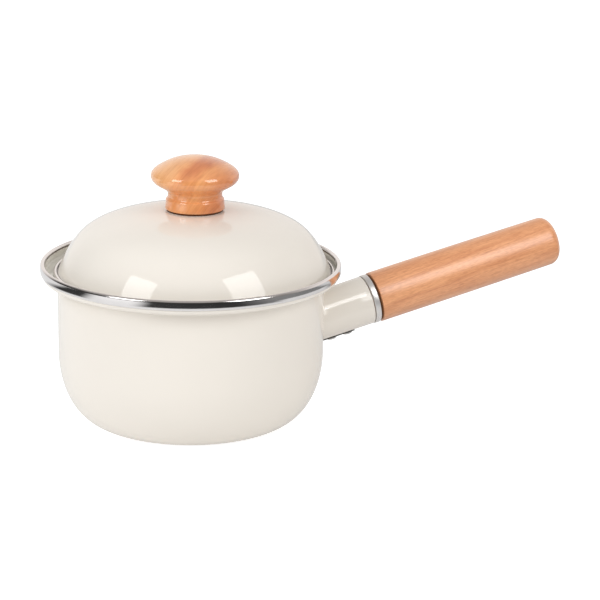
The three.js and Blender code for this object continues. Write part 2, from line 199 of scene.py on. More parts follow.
# Handle, distances along its axis from the pot's wall
HANDLE_TILT = math.radians(13.82)
FERRULE_START = 32.3
FERRULE_LENGTH = 3.4
FERRULE_PROUD = 0.3
FERRULE_EDGE = 0.5
SPACER_THICKNESS = 0.7
SPACER_RECESS = 0.6
SPACER_EDGE = 0.2
SOCKET_RADIUS = 14.3
SOCKET_WALL = 1.2
SOCKET_LENGTH = 32
SOCKET_TAPER = 0.55
SOCKET_FILLET = 0.8
SOCKET_LIP = 0.7
SOCKET_WALL_GAP = 0.02
GRIP_START = 37.0
GRIP_LENGTH = 117.2
GRIP_PROUD = 0.28
GRIP_SWELL = 0.1
GRIP_TAPER = 0.3
GRIP_EDGE = 0.6
GRIP_TIP_ROUND = 6
TENON_START = 22.88
TENON_RADIUS = 12.8
TENON_CHAMFER = 1
ROD_BORE = 3.3
ROD_BORE_END = 74.4
BRACKET_WIDTH = 12
BRACKET_LEG = 3
PLATE_THICKNESS = 0.3

# Screws of the clamp; a head's roundness is an exponent, and its recess is given as shares of its radius and
# height
SCREW_PLACES = {"clamp_screw_rear": 6.18, "clamp_screw_front": 16.28}
SCREW_SEAT_GAP = 0.05
CLAMP_SCREW_RADIUS = 1.7
CLAMP_SCREW_HEAD_RADIUS = 3.3
CLAMP_SCREW_HEAD_HEIGHT = 1.3
HEAD_ROUNDNESS = 0.6
RECESS_REACH = 0.6
RECESS_HALF_WIDTH = 0.14
RECESS_DEPTH = 0.45

# Meshes: faces round a turned piece, the angle from which an edge stays sharp, and a length taken as nothing
POT_TURN = 256
HANDLE_TURN = 128
SMALL_TURN = 96
SHARP_ANGLE = math.radians(38)
TINY = 1e-6


def size(node):
    """Lowest and highest corners of a CAD node, in millimetres."""
    return [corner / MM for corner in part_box(node)]


def arc(centre, radii, start, end, steps):
    """Points (radius, height) along an elliptical arc; angles in degrees from the outward direction."""
    angles = [math.radians(start + (end - start) * i / steps) for i in range(steps + 1)]
    return [(centre[0] + radii[0] * math.cos(a), centre[1] + radii[1] * math.sin(a)) for a in angles]


def bezier(controls, steps):
    """Points along a Bezier curve with three or four (radius, height) controls."""
    points = []
    for i in range(steps + 1):
        level = [Vector(c) for c in controls]
        while len(level) > 1:
            level = [a.lerp(b, i / steps) for a, b in zip(level, level[1:])]
        points.append(tuple(level[0]))
    return points


def rounded(corners, steps=6):
    """An outline of (radius, height, rounding) corners with each rounding drawn as an arc."""
    points = []
    for i, (x, y, radius) in enumerate(corners):
        here = Vector((x, y))
        if radius == 0:
            points.append((x, y))
            continue
        before = (Vector(corners[i - 1][:2]) - here).normalized()
        after = (Vector(corners[(i + 1) % len(corners)][:2]) - here).normalized()
        half = before.angle(after) / 2
        reach = radius / math.tan(half)
        centre = here + (before + after).normalized() * (radius / math.sin(half))
        first = here + before * reach - centre
        last = here + after * reach - centre
        sweep = first.angle_signed(last)
        for k in range(steps + 1):
            turned = Matrix.Rotation(-sweep * k / steps, 2) @ first
            points.append(tuple(centre + turned))
    return points


def offset(path, distance):
    """An open outline moved sideways, to the left of its direction of travel."""
    steps = [(Vector(b) - Vector(a)).normalized() for a, b in zip(path, path[1:])]
    normals = [Vector((-s.y, s.x)) for s in steps]
    moved = []
    for i, point in enumerate(path):
        before = normals[max(i - 1, 0)]
        after = normals[min(i, len(normals) - 1)]
        mitre = (before + after) / (1 + before.dot(after))
        moved.append(tuple(Vector(point) + mitre * distance))
    return moved


def smooth_by_angle(mesh):
    """Smooth shading, with edges kept sharp where the surface turns sharply."""
    mesh.update()
    mesh.shade_smooth()
    mesh.set_sharp_from_angle(angle=SHARP_ANGLE)


def lathe(name, outline, turn):
    """A mesh of revolution about Z from a closed outline in millimetres; points on the axis stay single."""
    area = sum(a[0] * b[1] - b[0] * a[1] for a, b in zip(outline, outline[1:] + outline[:1]))
    if area < 0:
        outline = outline[::-1]
    vertices = []
    rings = []
    for radius, height in outline:
        if radius < TINY:
            vertices.append((0, 0, height * MM))
            rings.append([len(vertices) - 1] * turn)
            continue
        rings.append(list(range(len(vertices), len(vertices) + turn)))
        for k in range(turn):
            angle = 2 * math.pi * k / turn
            vertices.append((radius * math.cos(angle) * MM, radius * math.sin(angle) * MM, height * MM))
    faces = []
    for low, high in zip(rings, rings[1:] + rings[:1]):
        if low[0] == low[1] and high[0] == high[1]:
            continue
        for k in range(turn):
            following = (k + 1) % turn
            corners = [low[k], low[following], high[following], high[k]]
            faces.append(list(dict.fromkeys(corners)))
    mesh = bpy.data.meshes.new(name)
    mesh.from_pydata(vertices, [], faces)
    smooth_by_angle(mesh)
    return mesh


def add_piece(name, mesh, body, slot, material, replaced, place=None):
    """A mesh as a piece that rides on a body, takes a finish and stands for a CAD node."""
    if place is not None:
        mesh.transform(place)
    piece = bpy.data.objects.new(name, mesh)
    bpy.context.scene.collection.objects.link(piece)
    mesh.materials.append(material)
    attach(piece, body)
    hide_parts(replaced)
    return piece


def add_turned(name, outline, turn, *piece):
    """A piece of revolution; the last values are those of add_piece, from the body on."""
    return add_piece(name, lathe(name, outline, turn), *piece)


class Nodes:
    """Adds nodes to a tree; an input is a value or another node's output."""

    def __init__(self, tree):
        self.tree = tree

    def fill(self, socket, value):
        if isinstance(value, bpy.types.NodeSocket):
            self.tree.links.new(value, socket)
        else:
            socket.default_value = value

    def add(self, kind, inputs=None, **settings):
        made = self.tree.nodes.new(kind)
        for key, value in settings.items():
            setattr(made, key, value)
        for key, value in (inputs or {}).items():
            self.fill(made.inputs[key], value)
        return made

    def math(self, operation, first, second):
        return self.add("ShaderNodeMath", {0: first, 1: second}, operation=operation).outputs[0]

    def vector(self, operation, first, second=None):
        """Vector arithmetic: a number for a length or a dot product, a vector for the rest."""
        inputs = {0: first}
        if second is not None:
            inputs[1] = second
        made = self.add("ShaderNodeVectorMath", inputs, operation=operation)
        return made.outputs["Value" if operation in ("LENGTH", "DOT_PRODUCT") else "Vector"]

    def range(self, value, low, high, to_low=0.0, to_high=1.0, interpolation="LINEAR"):
        inputs = {"Value": value, "From Min": low, "From Max": high, "To Min": to_low, "To Max": to_high}
        made = self.add("ShaderNodeMapRange", inputs, interpolation_type=interpolation)
        return made.outputs["Result"]

    def smooth(self, *values):
        return self.range(*values, interpolation="SMOOTHSTEP")

    def mix(self, factor, first, second, blend="MIX"):
        """A mix of two colours, each a socket or a tuple of three."""
        made = self.add("ShaderNodeMix", data_type="RGBA", blend_type=blend)
        for key, value in ((0, factor), (6, first), (7, second)):
            self.fill(made.inputs[key], (*value, 1) if isinstance(value, tuple) else value)
        return made.outputs[2]

    def blend(self, factor, first, second):
        """A mix of two numbers."""
        return self.add("ShaderNodeMix", {0: factor, 2: first, 3: second}).outputs[0]


class Finish(Nodes):
    """A procedural material: a Principled shader with helpers for the nodes that drive it."""

    def __init__(self, name, place=None, **constants):
        self.material = bpy.data.materials.new(name)
        self.material.use_nodes = True
        super().__init__(self.material.node_tree)
        self.shader = self.tree.nodes["Principled BSDF"]
        for socket, value in constants.items():
            self.shader.inputs[socket.replace("_", " ")].default_value = value
        self.coordinates = self.add("ShaderNodeTexCoord").outputs["Object"]
        if place is not None:
            inputs = {"Vector": self.coordinates, "Location": place.translation, "Rotation": place.to_euler()}
            self.coordinates = self.add("ShaderNodeMapping", inputs, vector_type="TEXTURE").outputs["Vector"]

    def split(self, vector):
        return self.add("ShaderNodeSeparateXYZ", {"Vector": vector}).outputs

    def turn(self, angles):
        inputs = {"Vector": self.coordinates, "Rotation": angles}
        return self.add("ShaderNodeMapping", inputs).outputs["Vector"]

    def stretch(self, scale, vector=None):
        vector = self.coordinates if vector is None else vector
        return self.add("ShaderNodeMapping", {"Vector": vector, "Scale": scale}).outputs["Vector"]

    def noise(self, scale, vector=None, detail=2.0, roughness=0.5, distortion=0.0):
        vector = self.coordinates if vector is None else vector
        inputs = {"Vector": vector, "Scale": scale, "Detail": detail,
                  "Roughness": roughness, "Distortion": distortion}
        return self.add("ShaderNodeTexNoise", inputs).outputs["Fac"]

    def ramp(self, factor, stops):
        ramp = self.add("ShaderNodeValToRGB", {"Fac": factor})
        for element, (position, colour) in zip(ramp.color_ramp.elements, stops):
            element.position = position
            element.color = (*colour, 1)
        return ramp.outputs["Color"]

    def darken(self, colour, factor, stops, share=1.0):
        """A colour multiplied by a ramp."""
        return self.mix(share, colour, self.ramp(factor, stops), "MULTIPLY")

    def bump(self, height, strength, distance, normal=None):
        inputs = {"Height": height, "Strength": strength, "Distance": distance}
        if normal is not None:
            inputs["Normal"] = normal
        return self.add("ShaderNodeBump", inputs).outputs["Normal"]

    def connect(self, **sockets):
        for name, value in sockets.items():
            self.tree.links.new(value, self.shader.inputs[name.replace("_", " ")])
        return self.material


def enamel(name, place=None, shade=1.0, pale_and_lit_inside=False, groove_shade_from=None):
    """Cream vitreous enamel: glassy, with faint cloudiness, a gentle wave, a fine orange peel and rare
    specks; a pot is paler inside, both in its enamel and with painted light in its shaded mouth, and a lid
    gets a dark ring of painted shade by its trimmed edge, in the groove beside its band, from a distance off
    its axis."""
    f = Finish(name, place, IOR=1.52)
    # A shade below 1 darkens the tones: painted shade for a piece that lies in shade
    tones = [tuple(shade * c for c in tone) for tone in ENAMEL_TONES]
    colour = f.mix(f.noise(22, detail=3), *tones)
    cells = f.add("ShaderNodeTexVoronoi", {"Vector": f.coordinates, "Scale": 70.0})
    chance = f.add("ShaderNodeSeparateColor", {"Color": cells.outputs["Color"]}).outputs["Red"]
    rare = f.math("GREATER_THAN", chance, 0.93)
    speck = f.math("MULTIPLY", rare, f.range(cells.outputs["Distance"], 0.01, 0.025, 0.5, 0.0))
    colour = f.mix(speck, colour, SPECK_TONE)
    level = f.vector("MULTIPLY", f.coordinates, (1, 1, 0))
    # Paler on inward faces: the inner enamel's own tone, and painted light that lifts the shade in the pot's
    # mouth
    if pale_and_lit_inside:
        out_and_down = f.vector("ADD", f.vector("NORMALIZE", level), (0, 0, -1))
        normal = f.add("ShaderNodeTexCoord").outputs["Normal"]
        facing = f.vector("DOT_PRODUCT", normal, out_and_down)
        colour = f.mix(f.range(facing, -0.2, 0.2, 1.0, 0.0), colour, PALE_AND_LIT_INSIDE_TONE)
    # Painted shade: the groove beside the lid's band darkened on the enamel
    if groove_shade_from is not None:
        groove_shade = f.range(f.vector("LENGTH", level), groove_shade_from * MM, (groove_shade_from + LID_SHADE_BLUR) * MM)
        colour = f.mix(groove_shade, colour, GROOVE_SHADE_TONE)
    wave = f.bump(f.noise(45, detail=1), 0.1, 0.0006)
    peel = f.bump(f.noise(900, detail=1), 0.04, 0.00008, wave)
    roughness = f.range(f.noise(160), 0.3, 0.7, 0.05, 0.09)
    return f.connect(Base_Color=colour, Roughness=roughness, Normal=peel)


def turned_steel(name, tone, low, high, line_depth, place=None, metallic=1.0, shade_line=None):
    """Steel with fine lines left by turning and small clouds in the polish; a shade line is painted shade,
    dark inside a radius, between two heights."""
    f = Finish(name, place, Metallic=metallic)
    height = f.split(f.coordinates)["Z"]
    radius = f.vector("LENGTH", f.vector("MULTIPLY", f.coordinates, (1, 1, 0)))
    profile = f.add("ShaderNodeCombineXYZ", {"X": radius, "Y": height}).outputs["Vector"]
    lines = f.noise(4000, profile, detail=1)
    cloud = f.noise(140, detail=3)
    colour = f.mix(cloud, tuple(STEEL_CLOUD_SHADE * c for c in tone), tone)
    # Painted shade: a dark line inside a radius, between two heights
    if shade_line is not None:
        edge, bottom, top = shade_line
        above = f.range(height, (bottom - SHADE_LINE_BLUR) * MM, (bottom + SHADE_LINE_BLUR) * MM)
        under = f.range(height, (top - SHADE_LINE_TOP_BLUR) * MM, (top + SHADE_LINE_TOP_BLUR) * MM, 1.0, 0.0)
        within = f.range(radius, (edge - SHADE_LINE_BLUR) * MM, (edge + SHADE_LINE_BLUR) * MM, 1.0, 0.0)
        shade_line_mask = f.math("MULTIPLY", within, f.math("MULTIPLY", above, under))
        colour = f.mix(shade_line_mask, colour, SHADE_LINE_TONE)
    roughness = f.range(cloud, 0.3, 0.7, low, high)
    return f.connect(Base_Color=colour, Roughness=roughness, Normal=f.bump(lines, line_depth, 0.00003))


def grip_wood(place):
    """Satin lacquered beech: fibres along the handle, slightly oblique growth lines, pores and flecks."""
    f = Finish("grip_wood", place, Coat_Weight=1.0, Coat_IOR=1.6, Coat_Roughness=0.32, Roughness=0.55)
    grain = f.turn((0.05, 0.07, 0))
    bands = f.noise(1.0, f.stretch((220, 220, 6), grain), detail=2)
    lines = f.noise(1.0, f.stretch((520, 520, 9), grain), detail=3, distortion=0.8)
    fibres = f.noise(1.0, f.stretch((1500, 1500, 60)), detail=3, roughness=0.6)
    pores = f.noise(1.0, f.stretch((2000, 2000, 330)), detail=1)
    flecks = f.noise(1.0, f.stretch((900, 900, 110)), detail=1)
    colour = f.ramp(bands, [(0.3, (0.725, 0.312, 0.130)), (0.7, (0.83, 0.392, 0.178))])
    colour = f.darken(colour, lines, [(0.36, (0.885, 0.81, 0.745)), (0.52, WHITE)])
    colour = f.darken(colour, fibres, [(0.32, (0.86, 0.79, 0.72)), (0.6, WHITE)])
    colour = f.darken(colour, pores, [(0.3, (0.85, 0.79, 0.73)), (0.6, WHITE)])
    colour = f.darken(colour, flecks, [(0.70, WHITE), (0.78, (0.84, 0.74, 0.66))])
    grooves = f.bump(pores, 0.2, 0.0001, f.bump(fibres, 0.12, 0.0001))
    return f.connect(Base_Color=colour, Normal=grooves, Coat_Normal=grooves)


def knob_wood(place):
    """Glossy lacquered beech: a darker growth band slants across the head, with soft clouds, streaks and
    fibres; one side is darkened with painted shade and the other paled with painted light."""
    f = Finish("knob_wood", place, Coat_Weight=0.95, Coat_IOR=1.8, Coat_Roughness=0.085, Roughness=0.5)
    grain = f.turn((0, -0.65, 0.6))
    waver = f.math("MULTIPLY", f.math("SUBTRACT", f.noise(60, detail=3), 0.5), 0.014)
    slant = f.math("ADD", f.split(grain)["X"], waver)
    height = f.split(f.coordinates)["Z"]
    band_and_shade = f.math("MULTIPLY", f.range(slant, -0.013, -0.009), f.range(slant, -0.004, 0.001, 1.0, 0.0))
    band_and_shade = f.math("MULTIPLY", band_and_shade, f.range(height, 0.019, 0.025))
    # Painted shade: the whole far side of the head darkened, beyond the growth band
    band_and_shade = f.math("MAXIMUM", band_and_shade, f.range(slant, -0.001, 0.012, 0.0, 0.85))
    cloud = f.noise(1.0, f.stretch((150, 40, 40), grain), detail=2)
    streaks = f.noise(1.0, f.stretch((420, 50, 35), grain), detail=3)
    fibres = f.noise(1.0, f.stretch((1500, 200, 130), grain), detail=2)
    light = f.ramp(cloud, [(0.3, (0.91, 0.345, 0.106)), (0.7, (0.98, 0.445, 0.163))])
    # Painted light: the other side of the head paled
    light = f.mix(f.range(slant, -0.018, -0.010, 0.6, 0.0), light, LIT_SIDE_KNOB_TONE)
    dark = f.ramp(cloud, [(0.3, (0.69, 0.206, 0.06)), (0.7, (0.81, 0.27, 0.084))])
    colour = f.mix(band_and_shade, light, dark)
    colour = f.darken(colour, streaks, [(0.32, (0.83, 0.74, 0.66)), (0.58, WHITE)], 0.7)
    colour = f.darken(colour, fibres, [(0.3, (0.90, 0.85, 0.80)), (0.6, WHITE)], 0.9)
    return f.connect(Base_Color=colour, Normal=f.bump(f.noise(60, detail=1), 0.03, 0.0003))


def speckled(f, noise, dark, light, low, high):
    """A finish between two colours and two roughnesses, with a faint relief, all from one noise."""
    return f.connect(Base_Color=f.mix(noise, dark, light), Roughness=f.range(noise, 0.3, 0.7, low, high),
                     Normal=f.bump(noise, 0.1, 0.00005))


def matt(name, *look):
    """A matt finish with fine speckle, for the gasket and the spacer."""
    f = Finish(name, Specular_IOR_Level=0.2)
    return speckled(f, f.noise(1200, detail=2), *look)


def worn_metal(name, *look):
    """Plain machined metal with fine scratches."""
    f = Finish(name, Metallic=1.0)
    return speckled(f, f.noise(1.0, f.stretch((300, 2500, 900)), detail=2), *look)


# Handle frame: its own Z along the axis and its own X downward, set by the ferrule's middle
ferrule_low, ferrule_high = size("handle_ferrule")
axis = Vector((math.cos(HANDLE_TILT), 0, math.sin(HANDLE_TILT)))
handle_origin = (ferrule_low + ferrule_high) / 2 - axis * (FERRULE_START + FERRULE_LENGTH / 2)
HANDLE_PLACE = Matrix.Translation(handle_origin * MM) @ Matrix.Rotation(math.pi / 2 - HANDLE_TILT, 4, "Y")

# Lid and knob frames: their own Z up the lid's axis
band_low, band_high = size("lid_rim_band")
knob_low, knob_high = size("lid_knob")
lid_edge = (band_high.x - band_low.x) / 2
lid_axis = (band_high.x + band_low.x) / 2
LID_PLACE = Matrix.Translation((lid_axis * MM, 0, 0))
KNOB_PLACE = Matrix.Translation((lid_axis * MM, 0, knob_low.z * MM))

# Socket enamel 4% darker than the pot's: painted shade for the rim's shade over the socket
SHADED_SOCKET_ENAMEL = enamel("socket_enamel_painted_shade", shade=0.96)
# Pot enamel paler inside, partly painted light in its shaded mouth
POT_ENAMEL = enamel("pot_enamel", pale_and_lit_inside=True)
LID_STEEL = turned_steel("lid_steel", *POLISH, LID_PLACE)
FERRULE_STEEL = turned_steel("ferrule_steel", (0.82, 0.805, 0.79), 0.36, 0.46, 0.12, HANDLE_PLACE, 0.85)
SCREW_STEEL = turned_steel("screw_steel", (0.58, 0.575, 0.56), 0.14, 0.22, 0.05)
PLAIN_STEEL = worn_metal("plain_steel", (0.42, 0.41, 0.40), (0.58, 0.57, 0.56), 0.3, 0.45)
DARK_STEEL = worn_metal("dark_steel", (0.05, 0.045, 0.04), (0.14, 0.13, 0.12), 0.35, 0.55)
BRASS = worn_metal("turned_brass", (0.52, 0.37, 0.15), (0.66, 0.50, 0.23), 0.25, 0.4)
RUBBER = matt("dark_rubber", (0.08, 0.032, 0.013), (0.15, 0.062, 0.026), 0.65, 0.85)
GRIP_WOOD = grip_wood(HANDLE_PLACE)
KNOB_WOOD = knob_wood(KNOB_PLACE)

# Pot: base, elliptical corner, wall, flare, ledge and lip
rim_low, rim_high = size("pot_rim_band")
pot_high = size("pot_shell")[1]
rim_outer = rim_high.x
lip_outer = pot_high.x
lip_inner = lip_outer - POT_WALL
lip_round = LIP_FILLET + POT_WALL
ledge_height = rim_low.z - LIP_FILLET
flare_start = ledge_height - POT_WALL - FLARE_RADIUS
pot_outside = [
    (0, 0),
    *arc((POT_RADIUS - CORNER_WIDTH, CORNER_HEIGHT), (CORNER_WIDTH, CORNER_HEIGHT), -90, 0, steps=40),
    *arc((POT_RADIUS + FLARE_RADIUS, flare_start), (FLARE_RADIUS, FLARE_RADIUS), 180, 90, steps=12),
    *arc((lip_outer - lip_round, rim_low.z), (lip_round, lip_round), -90, 0, steps=10),
    (lip_outer, pot_high.z),
]
pot_outline = pot_outside + offset(pot_outside, POT_WALL)[::-1]
add_turned("pot_body", pot_outline, POT_TURN, "pot", "enamel", POT_ENAMEL, "pot_shell")

# Steel band on the lip: a rounded crown, slightly bulged sides and a turned-in hem
rim_crown = (rim_outer - (lip_inner - FIT_GAP - RIM_SHEET)) / 2
rim_middle = rim_outer - rim_crown
crown_height = rim_high.z - rim_crown
hollow = rim_crown - RIM_SHEET
side_outer = rim_outer - RIM_SIDE_BULGE
side_low = rim_low.z + RIM_HEM
side_middle = (rim_outer + RIM_SIDE_BULGE, (crown_height + side_low) / 2)
hem = arc((side_outer - RIM_HEM, side_low), (RIM_HEM, RIM_HEM), RIM_HEM_START, 0, steps=6)
outer_side = bezier([(side_outer, side_low), side_middle, (side_outer, crown_height)], steps=8)
crown = arc((rim_middle, crown_height), (rim_crown - RIM_SIDE_BULGE, rim_crown), 0, 180, steps=20)
rim_outline = [
    *hem[:-1], *outer_side[:-1], *crown,
    (rim_middle - rim_crown, crown_height - RIM_INNER_LEG),
    (rim_middle - hollow, crown_height - RIM_INNER_LEG),
    *arc((rim_middle, crown_height), (hollow, hollow), 180, 0, steps=10),
    (rim_middle + hollow, rim_low.z + RIM_FOOT_RISE),
]
# Painted shade line inside the rim, about the foot of its crown
shade_line = (rim_middle - hollow, crown_height - RIM_SHADE_LINE[0], crown_height + RIM_SHADE_LINE[1])
RIM_STEEL = turned_steel("rim_steel", *POLISH, shade_line=shade_line)
add_turned("rim_band", rim_outline, POT_TURN, "pot", "polished_steel", RIM_STEEL, "pot_rim_band")

# Lid: a superelliptic dome with a raised crown that sweeps out to its flange
lid_high = size("lid_shell")[1]
dome_foot = lid_edge - LID_BAND_DEPTH - FIT_GAP
dome_radius = dome_foot - DOME_FOOT_WIDTH
flange_top = band_high.z - LID_BEAD - LID_BEAD_GAP
seat_radius = KNOB_COLLAR_RADIUS + KNOB_SEAT_MARGIN
screw_hole = KNOB_SCREW_RADIUS + FIT_GAP


def dome_height(radius):
    """Height of the dome's outside at a distance from the lid's axis."""
    share = radius / dome_radius
    dome = DOME_HEIGHT * (1 - share ** DOME_EXPONENT) ** (1 / DOME_EXPONENT)
    return band_high.z + dome + DOME_CROWN_RISE * (1 - share ** 2)


sweep_start = dome_radius - DOME_SWEEP_WIDTH
dome = []
for i in range(DOME_STEPS + 1):
    radius = seat_radius + (sweep_start - seat_radius) * math.sin(math.pi / 2 * i / DOME_STEPS)
    dome.append((radius, dome_height(radius)))
fall = (Vector(dome[-1]) - Vector(dome[-2])).normalized()
sweep = bezier([dome[-1], tuple(Vector(dome[-1]) + fall * DOME_SWEEP_REACH),
                (dome_foot - DOME_FOOT_REACH, flange_top), (dome_foot, flange_top)], steps=32)
flange_edge = (lid_edge - LID_BAND_SHEET - FIT_GAP, flange_top)
lid_outside = [(screw_hole, lid_high.z), *dome, *sweep[1:], flange_edge]
lid_outline = lid_outside + offset(lid_outside, -LID_WALL)[::-1]
# Lid enamel with a ring of painted shade by its band
LID_ENAMEL = enamel("lid_enamel", LID_PLACE, groove_shade_from=dome_foot - LID_SHADE_EDGE)
add_turned("lid_dome", lid_outline, POT_TURN, "lid", "enamel", LID_ENAMEL, "lid_shell", LID_PLACE)

# Steel band on the lid's edge, with a rounded outside and a bead on top
band_inner = lid_edge - LID_BAND_DEPTH
pocket = lid_edge - LID_BAND_SHEET
pocket_low = band_low.z + LID_BAND_SHEET
pocket_high = band_high.z - LID_BEAD
band_outline = rounded([
    (band_inner, band_low.z, 0), (lid_edge, band_low.z, LID_BAND_ROUND),
    (lid_edge, band_high.z, LID_BAND_ROUND), (band_inner, band_high.z, LID_BEAD_ROUND),
    (band_inner, pocket_high, LID_BEAD_EDGE), (pocket, pocket_high, 0),
    (pocket, pocket_low, 0), (band_inner, pocket_low, 0),
])
add_turned("lid_band", band_outline, POT_TURN, "lid", "polished_steel", LID_STEEL, "lid_rim_band", LID_PLACE)

# Knob: collar with a rounded shelf, waist, and a head with a rounded rim and a shallow cap
head_radius = (knob_high.x - knob_low.x) / 2
knob_height = knob_high.z - knob_low.z
collar_radius = KNOB_COLLAR_RADIUS - KNOB_COLLAR_TAPER
collar_edge = (KNOB_COLLAR_RADIUS - KNOB_COLLAR_EDGE, KNOB_COLLAR_EDGE)
neck = (KNOB_NECK_RADIUS, KNOB_NECK_HEIGHT)
head = (head_radius, KNOB_HEAD_HEIGHT)
shoulder = Vector(KNOB_SHOULDER)
inward = Vector((-math.cos(KNOB_SHOULDER_SLOPE), math.sin(KNOB_SHOULDER_SLOPE)))
before_shoulder = tuple(shoulder - inward * KNOB_SHOULDER_PULLS[0])
after_shoulder = tuple(shoulder + inward * KNOB_SHOULDER_PULLS[1])
shelf = bezier([(collar_radius, KNOB_COLLAR_HEIGHT), (collar_radius, KNOB_COLLAR_HEIGHT + KNOB_SHELF_PULL),
                (neck[0], KNOB_SHELF_HEIGHT - KNOB_SHELF_PULL), (neck[0], KNOB_SHELF_HEIGHT)], steps=16)
underside = bezier([neck, (neck[0], neck[1] + KNOB_NECK_PULL),
                    (head[0], head[1] - KNOB_UNDERSIDE_PULL), head], steps=32)
head_rim = bezier([head, (head[0], head[1] + KNOB_RIM_PULL), before_shoulder, KNOB_SHOULDER], steps=24)
cap = bezier([KNOB_SHOULDER, after_shoulder, (KNOB_CROWN_PULL, knob_height), (0, knob_height)], steps=24)
knob_outline = [
    (0, KNOB_BORE_DEPTH), (KNOB_BORE, KNOB_BORE_DEPTH), (KNOB_BORE, 0),
    *arc(collar_edge, (KNOB_COLLAR_EDGE, KNOB_COLLAR_EDGE), -90, 0, steps=6),
    *shelf, *underside, *head_rim[1:], *cap[1:],
]
add_turned("knob_turning", knob_outline, HANDLE_TURN, "lid", "knob_wood", KNOB_WOOD, "lid_knob", KNOB_PLACE)

# Gasket under the knob
gasket_low, gasket_high = size("knob_gasket")
gasket_edge = (gasket_high.x - gasket_low.x) / 2 - GASKET_INSET
gasket_outline = rounded([
    (screw_hole, gasket_low.z, 0), (gasket_edge, gasket_low.z, GASKET_LOW_EDGE),
    (gasket_edge, gasket_high.z, GASKET_HIGH_EDGE), (screw_hole, gasket_high.z, 0),
])
add_turned("gasket", gasket_outline, HANDLE_TURN, "lid", "dark_rubber", RUBBER, "knob_gasket", LID_PLACE)


def socket_start(angle, radius):
    """Distance along the handle's axis at which a line of the socket meets the pot's wall."""
    wall = POT_RADIUS + SOCKET_WALL_GAP
    down = Vector((math.sin(HANDLE_TILT), 0, -math.cos(HANDLE_TILT)))
    side = Vector((0, 1, 0))
    rim = handle_origin + (down * math.cos(angle) + side * math.sin(angle)) * radius
    across = rim.x * axis.x
    root = math.sqrt(across ** 2 - axis.x ** 2 * (rim.x ** 2 + rim.y ** 2 - wall ** 2))
    return (root - across) / axis.x ** 2


def socket_section(fillet_steps=8, lip_steps=6):
    """The socket's closed section: height above its outside, distance past its end, share of its length."""
    section = []
    for k in range(fillet_steps + 1):
        angle = math.pi / 2 * k / fillet_steps
        section.append((SOCKET_FILLET * (1 - math.sin(angle)), SOCKET_FILLET * (1 - math.cos(angle)), 0))
    section += [(0, 0, share) for share in (0.25, 0.5, 0.75)]
    for k in range(lip_steps + 1):
        angle = math.pi / 2 * k / lip_steps
        section.append((-SOCKET_LIP * (1 - math.cos(angle)), -SOCKET_LIP * (1 - math.sin(angle)), 1))
    return section + [(-SOCKET_WALL, 0, 1), (-SOCKET_WALL, 0, 0)]


def socket_mesh():
    """The socket's tube, trimmed to the pot's wall, with a small fillet there and a rounded outer end."""
    turn = HANDLE_TURN
    section = socket_section()
    vertices = []
    for above, past, share in section:
        for k in range(turn):
            angle = 2 * math.pi * k / turn
            radius = SOCKET_RADIUS + above
            if above > -SOCKET_WALL:
                radius -= SOCKET_TAPER * max(0, -math.cos(angle)) * (1 - share)
            begin = socket_start(angle, radius)
            if share == 0:
                place = begin + past
            elif share == 1:
                place = SOCKET_LENGTH + past
            else:
                straight = SOCKET_LENGTH - SOCKET_LIP - begin - SOCKET_FILLET
                place = begin + SOCKET_FILLET + straight * share
            vertices.append((radius * math.cos(angle) * MM, radius * math.sin(angle) * MM, place * MM))
    faces = []
    for i in range(len(section)):
        j = (i + 1) % len(section)
        for k in range(turn):
            following = (k + 1) % turn
            faces.append((i * turn + k, i * turn + following, j * turn + following, j * turn + k))
    mesh = bpy.data.meshes.new("socket_tube")
    mesh.from_pydata(vertices, [], faces)
    smooth_by_angle(mesh)
    return mesh


socket_tube = add_piece("socket_tube", socket_mesh(), "pot", "enamel", SHADED_SOCKET_ENAMEL, "handle_socket",
                        HANDLE_PLACE)

# Ferrule and the dark spacer beside it
ferrule_radius = SOCKET_RADIUS + FERRULE_PROUD
ferrule_end = FERRULE_START + FERRULE_LENGTH
socket_inner = SOCKET_RADIUS - SOCKET_WALL
ferrule_outline = rounded([
    (socket_inner, FERRULE_START, 0), (ferrule_radius, FERRULE_START, FERRULE_EDGE),
    (ferrule_radius, ferrule_end, FERRULE_EDGE), (socket_inner, ferrule_end, 0),
])
ferrule = add_turned("ferrule", ferrule_outline, HANDLE_TURN, "pot", "polished_steel", FERRULE_STEEL,
                     "handle_ferrule", HANDLE_PLACE)
spacer_start = ferrule_end + FIT_GAP
spacer_end = spacer_start + SPACER_THICKNESS
spacer_radius = SOCKET_RADIUS - SPACER_RECESS
spacer_outline = rounded([
    (socket_inner, spacer_start, 0), (spacer_radius, spacer_start, SPACER_EDGE),
    (spacer_radius, spacer_end, SPACER_EDGE), (socket_inner, spacer_end, 0),
])
add_turned("spacer", spacer_outline, SMALL_TURN, "pot", "dark_rubber", RUBBER, "spacer_ring", HANDLE_PLACE)

